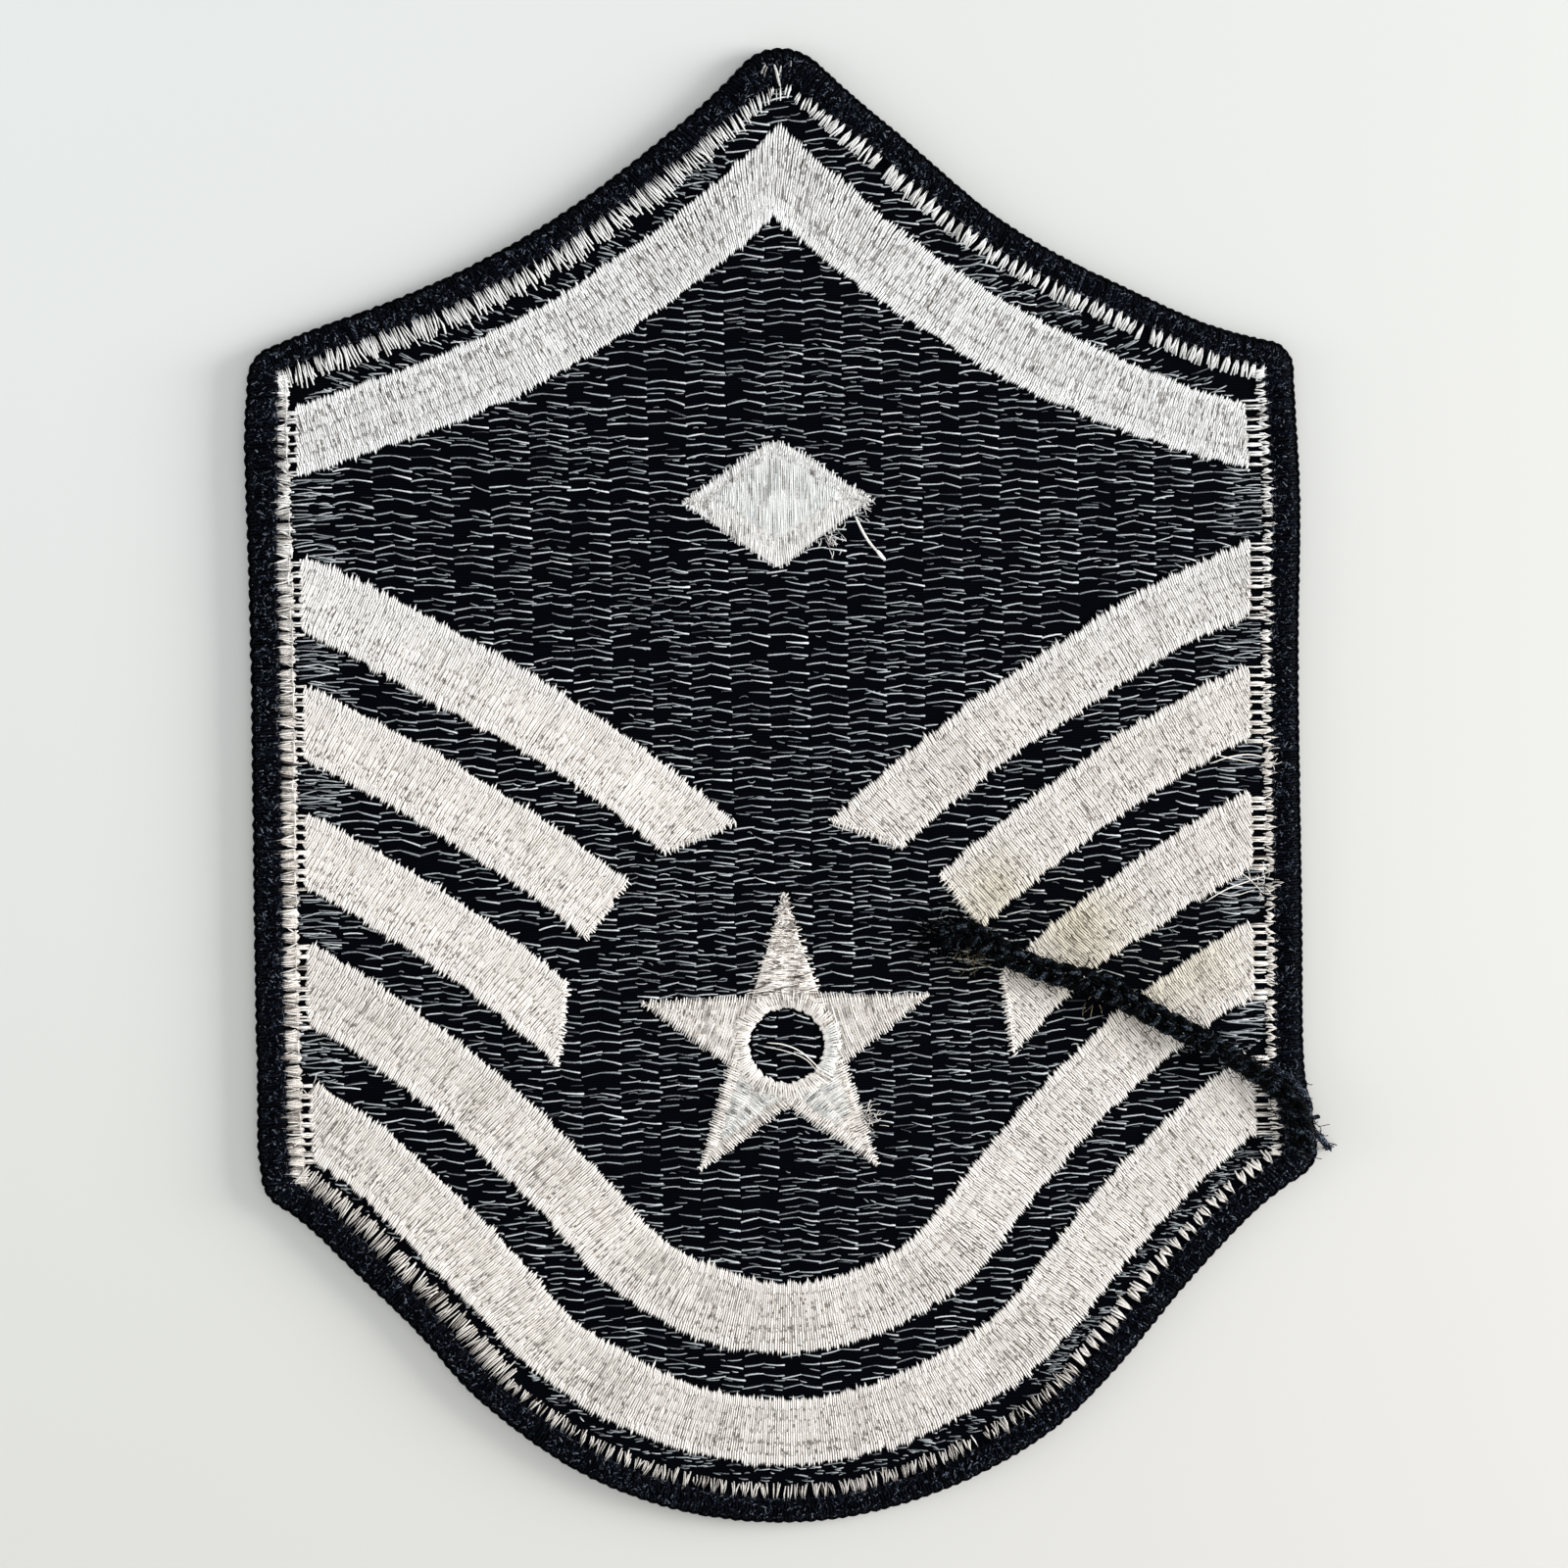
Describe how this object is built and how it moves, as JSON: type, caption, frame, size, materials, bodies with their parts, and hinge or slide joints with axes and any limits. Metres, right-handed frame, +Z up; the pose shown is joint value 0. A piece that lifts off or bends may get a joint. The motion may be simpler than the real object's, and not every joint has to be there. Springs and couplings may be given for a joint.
{
  "type": "rank insignia patch",
  "caption": "Shield-shaped embroidered sleeve patch with overlocked border, chevron, side bars, rockers, star and lozenge, lying back up.",
  "frame": {"origin": "middle of the patch in plan, on the surface that the underside of its border rests on", "axes": "X across the patch, Y from its foot to its point, Z up out of its back"},
  "size_m": [0.1016, 0.1426, 0.004],
  "materials": {
    "navy_cloth": "woven navy ground with grey locking stitches on the back",
    "border_thread": "overlocked navy-black thread, soft sheen",
    "back_thread": "off-white satin stitch seen from the back",
    "front_thread": "white satin stitch, worn side"
  },
  "bodies": {
    "root": {"ground_cloth": "navy_cloth", "merrow_border": "border_thread", "edge_row": "back_thread", "border_tail": "border_thread", "back_chevron": "back_thread", "back_outer_rocker": "back_thread", "back_inner_rocker": "back_thread", "back_lower_bar_left": "back_thread", "back_lower_bar_right": "back_thread", "back_middle_bar_left": "back_thread", "back_middle_bar_right": "back_thread", "back_upper_bar_left": "back_thread", "back_upper_bar_right": "back_thread", "back_star": "back_thread", "back_lozenge": "back_thread", "front_chevron": "front_thread", "front_outer_rocker": "front_thread", "front_inner_rocker": "front_thread", "front_lower_bar_left": "front_thread", "front_lower_bar_right": "front_thread", "front_middle_bar_left": "front_thread", "front_middle_bar_right": "front_thread", "front_upper_bar_left": "front_thread", "front_upper_bar_right": "front_thread", "front_star": "front_thread", "front_lozenge": "front_thread"}
  },
  "joints": []
}
